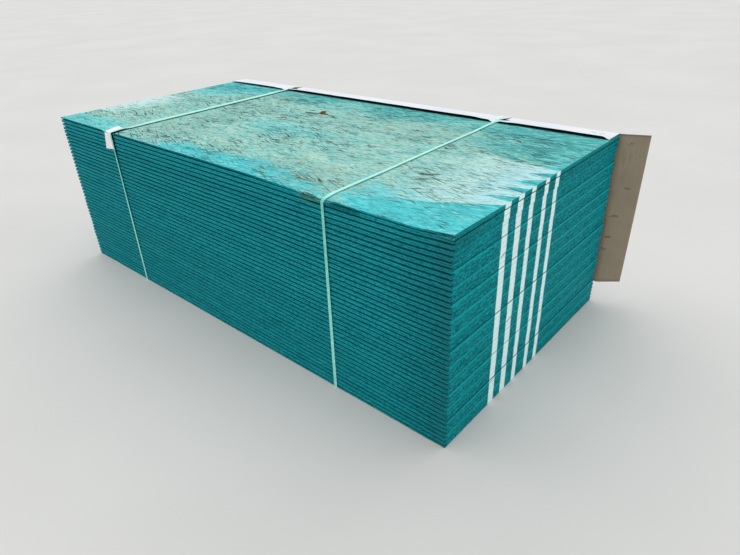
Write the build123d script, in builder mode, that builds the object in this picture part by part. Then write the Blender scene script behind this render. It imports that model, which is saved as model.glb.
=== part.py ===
from build123d import *
from math import cos, radians, sin
import os

# A strapped unit of tongue-and-groove floor panels, lying flat as it is sold.
# X runs along the panels, Y across them from the grooved edge to the tongued edge, and Z is up.
# The pieces are drawn about the middle of the lowest panel's underside, and set down together at the
# end, so that the origin is on the ground under the middle of the whole unit. Sizes are in millimetres.

# Panels
panel_count = 42
panel_length = 2438.0
panel_width = 1219.0
panel_thickness = 18.5
panel_gap = 0.35
edge_easing = 0.8

# Groove along the front edge of each panel, and the tongue that would fit it
groove_depth = 10.5
groove_mouth = 7.4
groove_floor = 6.4
tongue_side_clearance = 0.4
tongue_end_clearance = 1.0

# Panels are cut in books, so the panels of one book are flush and the books are a little out of line
book_size = 3
book_shift_along = 1.5
book_shift_across = 0.6
book_turn_along = 2.4
book_turn_across = 1.9
top_book_shift = 4.0

# Cover sheet, folded over the rear top edge
sheet_thickness = 1.0
sheet_fold_radius = 6.0
sheet_foot_height = 98.0
flap_width = 118.0
flap_lift_left = 6.5
flap_lift_middle = 8.0
flap_lift_right = 9.0
flap_lift_end = 5.0
flap_rise = 150.0
overhang_length = 118.0
overhang_turn_top = 37.0
overhang_turn_foot = 74.0

# Edge guards under the straps
guard_thickness = 2.5
guard_length = 95.0
guard_top_leg = 70.0
guard_side_leg = 88.0
guard_short_end = 22.0
front_guard_lift = 4.0
front_guard_flare = 11.0
rear_guard_lift = 9.0
rear_guard_flare = 4.0

# Straps round the width of the stack
strap_width = 16.0
strap_thickness = 0.9
strap_left_place = -704.0
strap_right_place = 700.0
strap_skew = -0.016
strap_lean = 0.012
strap_bend = 2.0
strap_ramp = 12.0

# Where the right strap has bitten into the front edge of the top panel
crush_radius = 12.0
crush_reach = 70.0

# Clearance where one piece lies on another
seat = 0.3

# Places worked out from the sizes above
pitch = panel_thickness + panel_gap
stack_top = panel_count * pitch - panel_gap
half_length = panel_length / 2
half_width = panel_width / 2
tongue_length = groove_depth - tongue_end_clearance
tongue_root = groove_mouth - 2 * tongue_side_clearance
tongue_tip = groove_floor - 2 * tongue_side_clearance
shoulder = half_width - tongue_length
front_seat = -half_width - book_shift_across - seat
rear_seat = half_width + book_shift_across + seat
top_seat = stack_top + seat
over_sheet = top_seat + sheet_thickness + seat
behind_sheet = rear_seat + sheet_thickness + seat
guard_bend = sheet_fold_radius + sheet_thickness + seat
tongue_foot = (panel_thickness - tongue_tip) / 2

os.makedirs("parts", exist_ok=True)

pieces = []


def keep(piece, name):
    """Names a finished piece and puts it with the rest of the unit."""
    piece.label = name
    pieces.append(piece)


def strap_at(middle, across, height):
    """Where a strap's centre line is along X, at a place across the stack and a height."""
    return middle + strap_skew * across + strap_lean * height


def book_offset(book):
    """How far a book of panels lies out of line, along and across."""
    if (book + 1) * book_size >= panel_count:
        return top_book_shift, 0.0
    return book_shift_along * sin(book_turn_along * book), book_shift_across * cos(book_turn_across * book)


def panel_outline(across, under):
    """Cross-section of one panel: groove at the front, tongue at the rear, eased long edges."""
    over = under + panel_thickness
    middle = under + panel_thickness / 2
    front = across - half_width
    back = across + shoulder
    return [
        (front, under + edge_easing),
        (front + edge_easing, under),
        (back - edge_easing, under),
        (back, under + edge_easing),
        (back, middle - tongue_root / 2),
        (back + tongue_length, middle - tongue_tip / 2),
        (back + tongue_length, middle + tongue_tip / 2),
        (back, middle + tongue_root / 2),
        (back, over - edge_easing),
        (back - edge_easing, over),
        (front + edge_easing, over),
        (front, over - edge_easing),
        (front, middle + groove_mouth / 2),
        (front + groove_depth, middle + groove_floor / 2),
        (front + groove_depth, middle - groove_floor / 2),
        (front, middle - groove_mouth / 2),
    ]


def bite(front):
    """Cross-sections of what the right strap has crushed off the front edge of the top panel."""
    middle = strap_at(strap_right_place, front, stack_top)
    sections = []
    for at, radius in (
        (middle - crush_reach, edge_easing),
        (middle, crush_radius),
        (middle + crush_reach, edge_easing),
    ):
        with BuildSketch(Plane.YZ.offset(at)) as section:
            with BuildLine():
                RadiusArc((front, stack_top - radius), (front + radius, stack_top), radius)
                Polyline(
                    (front + radius, stack_top),
                    (front + radius, stack_top + radius),
                    (front - radius, stack_top + radius),
                    (front - radius, stack_top - radius),
                    (front, stack_top - radius),
                )
            make_face()
        sections.append(section.sketch)
    return sections


def bent_strip(place, corner, top_end, side_end, radius, thickness):
    """Cross-section, at one place along X, of a thin strip folded over a long top edge.

    corner is where the strip's inner faces would meet, and the two ends are on those faces.
    """
    side = Side.LEFT if corner[0] < 0 else Side.RIGHT
    with BuildSketch(Plane.YZ.offset(place)) as section:
        with BuildLine():
            FilletPolyline(side_end, corner, top_end, radius=radius)
            offset(amount=thickness, side=side)
        make_face()
    return section.sketch


def ribbon(height, turn):
    """Level section of the sheet's free end, which curls away from the stack by an angle."""
    with BuildSketch(Plane.XY.offset(height)) as section:
        with BuildLine():
            JernArc((half_length, rear_seat), (1, 0), overhang_length / radians(turn), turn)
            offset(amount=sheet_thickness, side=Side.LEFT)
        make_face()
    return section.sketch


def guard(place, wing, corner, bend, lift, flare):
    """An edge guard. Its short end is tight under the strap, and its wing stands off a little.

    wing is the direction of the free end along X, and corner is where its inner faces would meet.
    """
    outward = 1 if corner[0] > 0 else -1
    stations = [
        (place - wing * guard_short_end, 0.0),
        (place + wing * strap_width, 0.0),
        (place + wing * (guard_length - guard_short_end), 1.0),
    ]
    sections = []
    for at, free in sorted(stations):
        top_end = (corner[0] - outward * guard_top_leg, corner[1] + free * lift)
        side_end = (corner[0] + outward * free * flare, corner[1] - guard_side_leg)
        sections.append(bent_strip(at, corner, top_end, side_end, bend, guard_thickness))
    with BuildPart() as piece:
        loft(sections, ruled=True)
    return piece.part


def strap_front(front_guard, nose):
    """The strap's inner line up the front face and over the front edge, with the bend at each point."""
    foot = (front_seat, -seat, strap_bend)
    if not front_guard:
        return [foot, (front_seat, top_seat, nose)]
    out = front_seat - guard_thickness - seat
    over = top_seat + guard_thickness + seat
    return [
        foot,
        (out, top_seat - guard_side_leg, 0),
        (out, over, strap_bend + guard_thickness + seat),
        (front_seat + guard_top_leg, over, 0),
        (front_seat + guard_top_leg + strap_ramp, top_seat, 0),
    ]


def strap_rear():
    """The strap's inner line over the flap and the rear guard, down the rear and under the tongue."""
    out = behind_sheet + guard_thickness + seat
    over = over_sheet + guard_thickness + seat
    flap_edge = rear_seat - flap_width
    guard_edge = behind_sheet - guard_top_leg
    return [
        (flap_edge - strap_ramp, top_seat, 0),
        (flap_edge, over_sheet, 0),
        (guard_edge - strap_ramp, over_sheet, 0),
        (guard_edge, over, 0),
        (out, over, guard_bend + guard_thickness + seat),
        (out, over_sheet - guard_side_leg, 0),
        (behind_sheet, sheet_foot_height, 0),
        (rear_seat + seat, tongue_foot, strap_bend),
        (shoulder + book_shift_across, -seat, strap_bend),
    ]


def strap(middle, route):
    """A closed band round the stack, on a plane that turns with the strap's skew and lean."""
    near_side = middle - strap_width / 2
    slant = Plane(origin=(near_side, 0, 0), x_dir=(strap_skew, 1, 0), z_dir=(1, -strap_skew, -strap_lean))
    corners = []
    for across, height, _ in route:
        on_slant = slant.to_local_coords(Vector(strap_at(near_side, across, height), across, height))
        corners.append((on_slant.X, on_slant.Y))
    bends = [bend for _, _, bend in route]
    with BuildPart() as piece:
        with BuildSketch(slant):
            with BuildLine():
                FilletPolyline(*corners, radius=bends, close=True)
            make_face()
            offset(amount=strap_thickness, kind=Kind.INTERSECTION)
            with BuildLine():
                FilletPolyline(*corners, radius=bends, close=True)
            make_face(mode=Mode.SUBTRACT)
        extrude(amount=strap_width, dir=(1, 0, 0))
    return piece.part


# Panels, from the lowest
for number in range(panel_count):
    along, across = book_offset(number // book_size)
    with BuildPart() as panel:
        with BuildSketch(Plane.YZ.offset(along - half_length)):
            with BuildLine():
                Polyline(*panel_outline(across, number * pitch), close=True)
            make_face()
        extrude(amount=panel_length)
        if number == panel_count - 1:
            loft(bite(across - half_width), ruled=True, mode=Mode.SUBTRACT)
    keep(panel.part, f"panel_{number + 1:02d}")

# Cover sheet: the flap and the hanging panel, then the free end that swings out past the stack
fold = (rear_seat, top_seat)
rear_left = strap_at(strap_left_place, half_width, stack_top)
rear_right = strap_at(strap_right_place, half_width, stack_top)
held = guard_short_end + seat
flap_stations = [
    (-half_length, flap_lift_end),
    ((rear_left - half_length) / 2, flap_lift_left),
    (rear_left - held, 0.0),
    (rear_left + held, 0.0),
    (rear_left + held + flap_rise, flap_lift_middle),
    (rear_right - held - flap_rise, flap_lift_middle),
    (rear_right - held, 0.0),
    (rear_right + held, 0.0),
    (half_length - flap_rise, flap_lift_right),
    (half_length, 0.0),
]
folded = []
for at, lift in flap_stations:
    flap_end = (fold[0] - flap_width, fold[1] + lift)
    foot = (fold[0], sheet_foot_height)
    folded.append(bent_strip(at, fold, flap_end, foot, sheet_fold_radius, sheet_thickness))
free_end = [
    ribbon(sheet_foot_height, overhang_turn_foot),
    ribbon(top_seat, overhang_turn_top),
]
with BuildPart() as cover_sheet:
    loft(folded, ruled=True)
    loft(free_end)
keep(cover_sheet.part, "cover_sheet")

# Edge guards: one on the front edge under the left strap, and one on the rear edge under each strap
front_corner = (front_seat, top_seat)
rear_corner = (behind_sheet, over_sheet)
front_left = strap_at(strap_left_place, -half_width, stack_top)
front_guard = guard(front_left, -1, front_corner, strap_bend, front_guard_lift, front_guard_flare)
keep(front_guard, "guard_front_left")
for name, place in (("guard_rear_left", rear_left), ("guard_rear_right", rear_right)):
    keep(guard(place, 1, rear_corner, guard_bend, rear_guard_lift, rear_guard_flare), name)

# Straps
keep(strap(strap_left_place, strap_front(True, strap_bend) + strap_rear()), "strap_left")
keep(strap(strap_right_place, strap_front(False, crush_radius) + strap_rear()), "strap_right")

# The unit stands on its straps, with the origin under the middle of the box round everything
box = pieces[0].bounding_box()
for piece in pieces[1:]:
    box = box.add(piece.bounding_box())
set_down = Location((-box.center().X, -box.center().Y, -box.min.Z))
for piece in pieces:
    export_step(piece.moved(set_down), f"parts/{piece.label}.step")
print("Moved by", set_down.position)
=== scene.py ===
import math
import random
from functools import reduce

import bmesh
import bpy
from mathutils import Matrix, Vector, noise


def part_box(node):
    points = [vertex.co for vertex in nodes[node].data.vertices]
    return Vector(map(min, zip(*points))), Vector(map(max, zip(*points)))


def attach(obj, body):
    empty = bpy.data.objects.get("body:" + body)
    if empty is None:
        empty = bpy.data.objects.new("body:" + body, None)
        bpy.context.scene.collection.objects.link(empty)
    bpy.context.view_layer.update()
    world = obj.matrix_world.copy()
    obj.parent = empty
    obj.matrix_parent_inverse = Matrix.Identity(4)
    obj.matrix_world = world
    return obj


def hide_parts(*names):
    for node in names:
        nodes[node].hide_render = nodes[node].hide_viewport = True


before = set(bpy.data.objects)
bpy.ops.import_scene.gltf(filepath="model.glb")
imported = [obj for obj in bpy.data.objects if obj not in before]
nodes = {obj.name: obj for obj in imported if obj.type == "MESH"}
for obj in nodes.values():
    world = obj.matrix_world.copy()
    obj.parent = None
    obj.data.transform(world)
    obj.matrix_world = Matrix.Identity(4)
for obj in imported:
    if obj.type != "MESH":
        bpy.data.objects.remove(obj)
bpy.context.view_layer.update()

# Vector noise follows the clock until it is given a seed
NOISE_SEED = 42
STRAND_SEED = 42
TORN_SEED = 7
noise.seed_set(NOISE_SEED)

# Sizes in metres. The stack's place and heights come from the frame
MM = 0.001
PANEL_COUNT = 42
BOOK_SIZE = 3
BOOK_SHIFT = 0.6 * MM
WELD = 0.01 * MM

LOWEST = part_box("panel_01")
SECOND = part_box("panel_02")
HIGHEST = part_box("panel_42")
LEFT = LOWEST[0].x
RIGHT = LOWEST[1].x
FRONT = LOWEST[0].y - BOOK_SHIFT
REAR = LOWEST[1].y - BOOK_SHIFT
BASE = LOWEST[0].z
PITCH = SECOND[0].z - BASE
TOP = HIGHEST[1].z
LENGTH = RIGHT - LEFT
WIDTH = REAR - FRONT
HEIGHT = TOP - BASE
TOP_PANEL_FOOT = (PANEL_COUNT - 1) * PITCH
MIDDLE = Vector(((LEFT + RIGHT) / 2, (FRONT + REAR) / 2, 0))

# The groove's mouth, the depth that the tongue takes up, and the eased corners, as the panels are cut
GROOVE_MOUTH = 7.4 * MM
TONGUE_ZONE = 11 * MM
EDGE_EASING = 0.8 * MM

# Straps: where each crosses the middle of the stack, and how it skews and leans
STRAP_LEFT = MIDDLE.x - 704 * MM
STRAP_RIGHT = MIDDLE.x + 700 * MM
STRAP_SKEW = -0.016
STRAP_LEAN = 0.012
STRAP_WIDTH = 16 * MM

# How far each strap's top run is dragged to the right, and where that ends by the rear and by the front
DRAG = {STRAP_LEFT: 10 * MM, STRAP_RIGHT: 8 * MM}
DRAG_REAR = (320 * MM, 90 * MM)
RIGHT_DRAG_FRONT = 300 * MM

# The five stripes sprayed down each end: front edge and rear edge from the stack's front
STRIPES = (
    (278 * MM, 314 * MM),
    (363 * MM, 399 * MM),
    (450 * MM, 480 * MM),
    (547 * MM, 576 * MM),
    (628 * MM, 657 * MM),
)
STRIPES_LEFT_SHIFT = -45 * MM

# Cover sheet
SHEET = 1.0 * MM
SHEET_SEAT = 0.3 * MM
FOLD_RADIUS = 6 * MM
SHEET_FOOT = BASE + 98 * MM
FLAP_WIDTH = 118 * MM
FREE_LENGTH = 118 * MM
FREE_TURN_TOP = math.radians(21)
FREE_TURN_FOOT = math.radians(38)
FREE_CREASE = 25 * MM

# The give of the stack under the right strap, and how hard each thing presses the top panel's upper lip
DIP_DEPTH = 6 * MM
STRAP_PRESS = 6.6 * MM
GUARD_PRESS = 5.4 * MM
EDGE_PRESS = 2.8 * MM
LIP_DEPTH = 6.5 * MM
TOP_PANEL_REACH = 12.6 * MM
FITTING_REACH = 120 * MM


def smooth(value, low, high):
    """Nought below low and one above high, with an eased rise between."""
    share = min(max((value - low) / (high - low), 0.0), 1.0)
    return share * share * (3 - 2 * share)


def strap_at(middle, across, height):
    """Where a strap's centre line is along X, at a place across the stack and a height."""
    return middle + STRAP_SKEW * (across - MIDDLE.y) + STRAP_LEAN * (height - BASE)


def dip(x, y, z):
    """How far the front has given way under the right strap: most at the top, none at the base."""
    along = smooth(x, LEFT + 1.5, LEFT + 2.1) * smooth(x, RIGHT, RIGHT - 0.16)
    across = smooth(y, FRONT + 0.75, FRONT)
    share = max(0.0, z - BASE) / HEIGHT
    return DIP_DEPTH * along * across * share**2


def press(x, y):
    """How far the top panel's upper lip is squeezed down by the right strap and the front guard."""
    inward = smooth(y, FRONT + 55 * MM, FRONT)
    strap = smooth(abs(x - strap_at(STRAP_RIGHT, FRONT, TOP)), 95 * MM, 10 * MM)
    guard = smooth(abs(x - strap_at(STRAP_LEFT, FRONT, TOP) + 20 * MM), 75 * MM, 38 * MM)
    edge = smooth(x, LEFT + 1.45, LEFT + 1.75) * smooth(x, RIGHT, RIGHT - 60 * MM)
    return max(STRAP_PRESS * strap, GUARD_PRESS * guard, EDGE_PRESS * edge) * inward


def settle(vert, reach=0.0):
    """Takes a point down with the stack's give, and with the pressed lip down to a reach below the top."""
    x, y, z = vert.co
    down = dip(x, y, z)
    if reach:
        down += press(x, y) * smooth(z, TOP - reach, TOP - LIP_DEPTH)
    vert.co.z -= down


def strap_drift(middle, y):
    """How far a strap's top run has been dragged to the right of its place."""
    far, near = DRAG_REAR
    drift = DRAG[middle] * smooth(y, REAR - near, REAR - far)
    if middle == STRAP_RIGHT:
        drift *= min(max(0.0, y - FRONT) / RIGHT_DRAG_FRONT, 1.0)
    return drift


# Finishes


def tint(red, green, blue):
    """A colour as the shader wants it, from its everyday numbers out of 255."""
    shares = [channel / 255 for channel in (red, green, blue)]
    linear = [share / 12.92 if share <= 0.04045 else ((share + 0.055) / 1.055) ** 2.4 for share in shares]
    return (*linear, 1.0)


def pick(sockets, key):
    """A socket by its number, its own mark or its name."""
    if isinstance(key, int):
        return sockets[key]
    return next(socket for socket in sockets if key in (socket.identifier, socket.name))


class Wire:
    """One value in a tree of nodes, so that maths on it reads as a plain expression."""

    def __init__(self, owner, socket):
        self.owner = owner
        self.socket = socket

    def maths(self, operation, *values):
        return self.owner.add("ShaderNodeMath", {"operation": operation}, dict(enumerate(values)))

    def __add__(self, other):
        return self.maths("ADD", self, other)

    def __radd__(self, other):
        return self.maths("ADD", other, self)

    def __sub__(self, other):
        return self.maths("SUBTRACT", self, other)

    def __rsub__(self, other):
        return self.maths("SUBTRACT", other, self)

    def __mul__(self, other):
        return self.maths("MULTIPLY", self, other)

    def __rmul__(self, other):
        return self.maths("MULTIPLY", other, self)

    def __truediv__(self, other):
        return self.maths("DIVIDE", self, other)

    def __gt__(self, other):
        return self.maths("GREATER_THAN", self, other)

    def __lt__(self, other):
        return self.maths("LESS_THAN", self, other)

    def __abs__(self):
        return self.maths("ABSOLUTE", self)

    def whole(self):
        return self.maths("FLOOR", self)

    def part(self):
        return self.maths("FRACT", self)

    def larger(self, other):
        return self.maths("MAXIMUM", self, other)

    def smaller(self, other):
        return self.maths("MINIMUM", self, other)

    def chance(self):
        """A number from nought to one that stays the same for each whole value."""
        return self.owner.add("ShaderNodeTexWhiteNoise", {"noise_dimensions": "1D"}, {"W": self}, "Value")

    def cloud(self, detail=2, rough=0.5, scale=1):
        """Noise over a place, from nought to one."""
        sockets = {"Vector": self, "Scale": scale, "Detail": detail, "Roughness": rough}
        return self.owner.add("ShaderNodeTexNoise", {"noise_dimensions": "3D"}, sockets, "Fac")

    def rise(self, low, high, start=0, end=1):
        """An eased change from start to end as the value goes from low to high."""
        sockets = {"Value": self, "From Min": low, "From Max": high, "To Min": start, "To Max": end}
        return self.owner.add("ShaderNodeMapRange", {"interpolation_type": "SMOOTHSTEP"}, sockets)

    def fall(self, low, high, start=1, end=0):
        """The same, from one to nought unless it says otherwise."""
        return self.rise(low, high, start, end)


def largest(wires):
    return reduce(Wire.larger, wires)


class Nodes:
    """The shader nodes of a material or a world, begun afresh."""

    def __init__(self, owner):
        owner.use_nodes = True
        self.tree = owner.node_tree
        self.tree.nodes.clear()

    def add(self, kind, settings=None, sockets=None, output=0):
        """Any node: its settings are set first, then the values and links of its sockets."""
        node = self.tree.nodes.new(kind)
        for name, value in (settings or {}).items():
            if name == "stops":
                ramp = node.color_ramp
                while len(ramp.elements) < len(value):
                    ramp.elements.new(1.0)
                for element, (position, colour) in zip(ramp.elements, value):
                    element.position = position
                    element.color = tint(*colour)
            else:
                setattr(node, name, value)
        for key, value in (sockets or {}).items():
            socket = pick(node.inputs, key)
            if isinstance(value, Wire):
                self.tree.links.new(value.socket, socket)
            else:
                socket.default_value = value
        return Wire(self, pick(node.outputs, output)) if node.outputs else node


class Finish(Nodes):
    """A material in metres from the stack's lower front left corner, with the colour laid so far."""

    def __init__(self, name):
        self.material = bpy.data.materials.new(name)
        super().__init__(self.material)
        object_place = self.add("ShaderNodeTexCoord", output="Object")
        centred = {"Vector": object_place, "Location": (-LEFT, -FRONT, -BASE)}
        self.place = self.add("ShaderNodeMapping", {"vector_type": "POINT"}, centred)
        self.axes = [self.add("ShaderNodeSeparateXYZ", {}, {"Vector": self.place}, axis) for axis in "XYZ"]
        self.colour = None

    def joined(self, x, y, z):
        return self.add("ShaderNodeCombineXYZ", {}, {"X": x, "Y": y, "Z": z})

    def grid(self, size, turn=0.0, start=(0.0, 0.0, 0.0)):
        """The place measured in steps of a size, on a grid turned about the upright."""
        sockets = {"Vector": self.place, "Location": start, "Rotation": (0, 0, turn), "Scale": size}
        return self.add("ShaderNodeMapping", {"vector_type": "TEXTURE"}, sockets)

    def ramp(self, value, *stops):
        """A colour that changes with a value, from stops that each have a place and a colour."""
        return self.add("ShaderNodeValToRGB", {"stops": stops}, {"Fac": value}, "Color")

    def mix(self, share, under, over):
        """Two colours mixed by a share. Each is a wire, or its everyday numbers out of 255."""
        under, over = [colour if isinstance(colour, Wire) else tint(*colour) for colour in (under, over)]
        sockets = {"Factor_Float": share, "A_Color": under, "B_Color": over}
        return self.add("ShaderNodeMix", {"data_type": "RGBA"}, sockets, "Result_Color")

    def prime(self, share, under, over):
        """The first layer, of two colours."""
        self.colour = self.mix(share, under, over)

    def coat(self, share, over):
        """One more layer on what has been laid so far, as thick as the share."""
        self.colour = self.mix(share, self.colour, over)

    def patches(self, waver, *ovals):
        """Ragged ovals, each with its middle along and across, its reach both ways and its share."""
        along, across, _ = self.axes
        found = []
        for middle_along, middle_across, reach_along, reach_across, share in ovals:
            x = (along - middle_along) / reach_along
            y = (across - middle_across) / reach_across
            found.append((x * x + y * y + waver).fall(0.35, 1.25) * share)
        return largest(found)

    def surface(self, rough, height=None, depth=1.0, reach=1 * MM, shine=0.5):
        """Closes the finish with a shader, and returns the material."""
        sockets = {"Base Color": self.colour, "Roughness": rough, "Specular IOR Level": shine}
        if height is not None:
            bump = {"Height": height, "Strength": depth, "Distance": reach}
            sockets["Normal"] = self.add("ShaderNodeBump", {}, bump)
        shader = self.add("ShaderNodeBsdfPrincipled", {}, sockets)
        self.add("ShaderNodeOutputMaterial", {}, {"Surface": shader})
        return self.material


# Lies of strands: turn, a strand's length and width, and start. An upper one shows above its least lot
LOWEST_LIE = (0.5, 75 * MM, 15 * MM, (0.3, 0.1, 0))
UPPER_LIES = (
    (0.5, (-0.32, 90 * MM, 13 * MM, (0.7, 0.4, 0))),
    (0.45, (0.06, 110 * MM, 12 * MM, (0.1, 0.9, 0))),
)


def strand_layer(finish, turn, length, width, start):
    """Strands that lie one way: a tone and a lot for each strand, and how near its edge a place is."""
    grid = finish.grid((length, width, 1), turn, start)
    loose = {"Vector": grid, "Scale": 1.7, "Detail": 2.0}
    waver = finish.add("ShaderNodeTexNoise", {"noise_dimensions": "2D"}, loose, "Color")
    bend = {0: waver, 1: (0.3, 0.5, 0), 2: grid}
    bent = finish.add("ShaderNodeVectorMath", {"operation": "MULTIPLY_ADD"}, bend)
    cell = {"Vector": bent, "Scale": 1.0}
    flat = {"voronoi_dimensions": "2D"}
    colours = finish.add("ShaderNodeTexVoronoi", flat | {"feature": "F1"}, cell, "Color")
    tone = finish.add("ShaderNodeSeparateColor", {}, {"Color": colours}, "Red")
    lot = finish.add("ShaderNodeSeparateColor", {}, {"Color": colours}, "Green")
    edge = finish.add("ShaderNodeTexVoronoi", flat | {"feature": "DISTANCE_TO_EDGE"}, cell, "Distance")
    return tone, lot, edge


def strand_layers(finish):
    """Lies of strands over each other: a tone for each place, and the seams between strands."""
    tone, _, edge = strand_layer(finish, *LOWEST_LIE)
    for least, lie in UPPER_LIES:
        upper_tone, lot, upper_edge = strand_layer(finish, *lie)
        shows = lot > least
        tone = tone + shows * (upper_tone - tone)
        edge = edge + shows * (upper_edge - edge)
    return tone, edge.fall(0, 0.1)


def slivers(finish, *lies):
    """Thin splits, where a stretched cloud is above a level. A lie has a size, turn, start and level."""
    found = []
    for length, width, turn, start, level in lies:
        found.append(finish.grid((length, width, 1), turn, start).cloud().rise(level, level + 0.035))
    return largest(found)


# How the white fans on the top lean to the front and to the rear, one for each stripe
FAN_LEANS = ((0.44, 0.15), (0.42, 0.3), (0.3, 0.07), (0.7, 0.1), (0.64, 0.1))
FAN_SETBACK = 12 * MM

# The white band at the left end of the top, from the stack's front
BAND_FRONT = 215 * MM
BAND_REAR = 640 * MM

# Long cracks in the white: start and end along the stack, place across it, and turn
CRACKS = (
    (2342 * MM, 2438 * MM, 396 * MM, 0.02),
    (2290 * MM, 2321 * MM, 434 * MM, 0.2),
)


def drift(finish, streak):
    """White drifted over the top from the stripes: fans at the right end, a band at the left one."""
    along, across, _ = finish.axes
    inward = LENGTH - along
    fans = []
    for (front, rear), (forward, rearward) in zip(STRIPES, FAN_LEANS):
        low = across - (front - FAN_SETBACK) + inward * forward
        high = (rear - FAN_SETBACK) - across + inward * rearward
        fans.append((low.smaller(high) / (2 * MM + inward * 0.05)).rise(-0.5, 0.8))
    fade = (inward + (streak - 0.5) * 0.34).fall(0.05, 0.5, 0.7)
    broken = streak.rise(0.3, 0.58, 0.55).larger(inward.fall(0.07, 0.2))
    right = largest(fans) * fade * broken

    low = across - BAND_FRONT + along * 0.03
    inside = low.smaller(BAND_REAR - across) + (streak - 0.5) * 60 * MM
    fade = (along + (streak - 0.5) * 0.22).fall(0.02, 0.3, 0.86)
    left = inside.rise(-8 * MM, 22 * MM) * fade * streak.rise(0.3, 0.6, 0.55)
    return right.larger(left)


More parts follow.
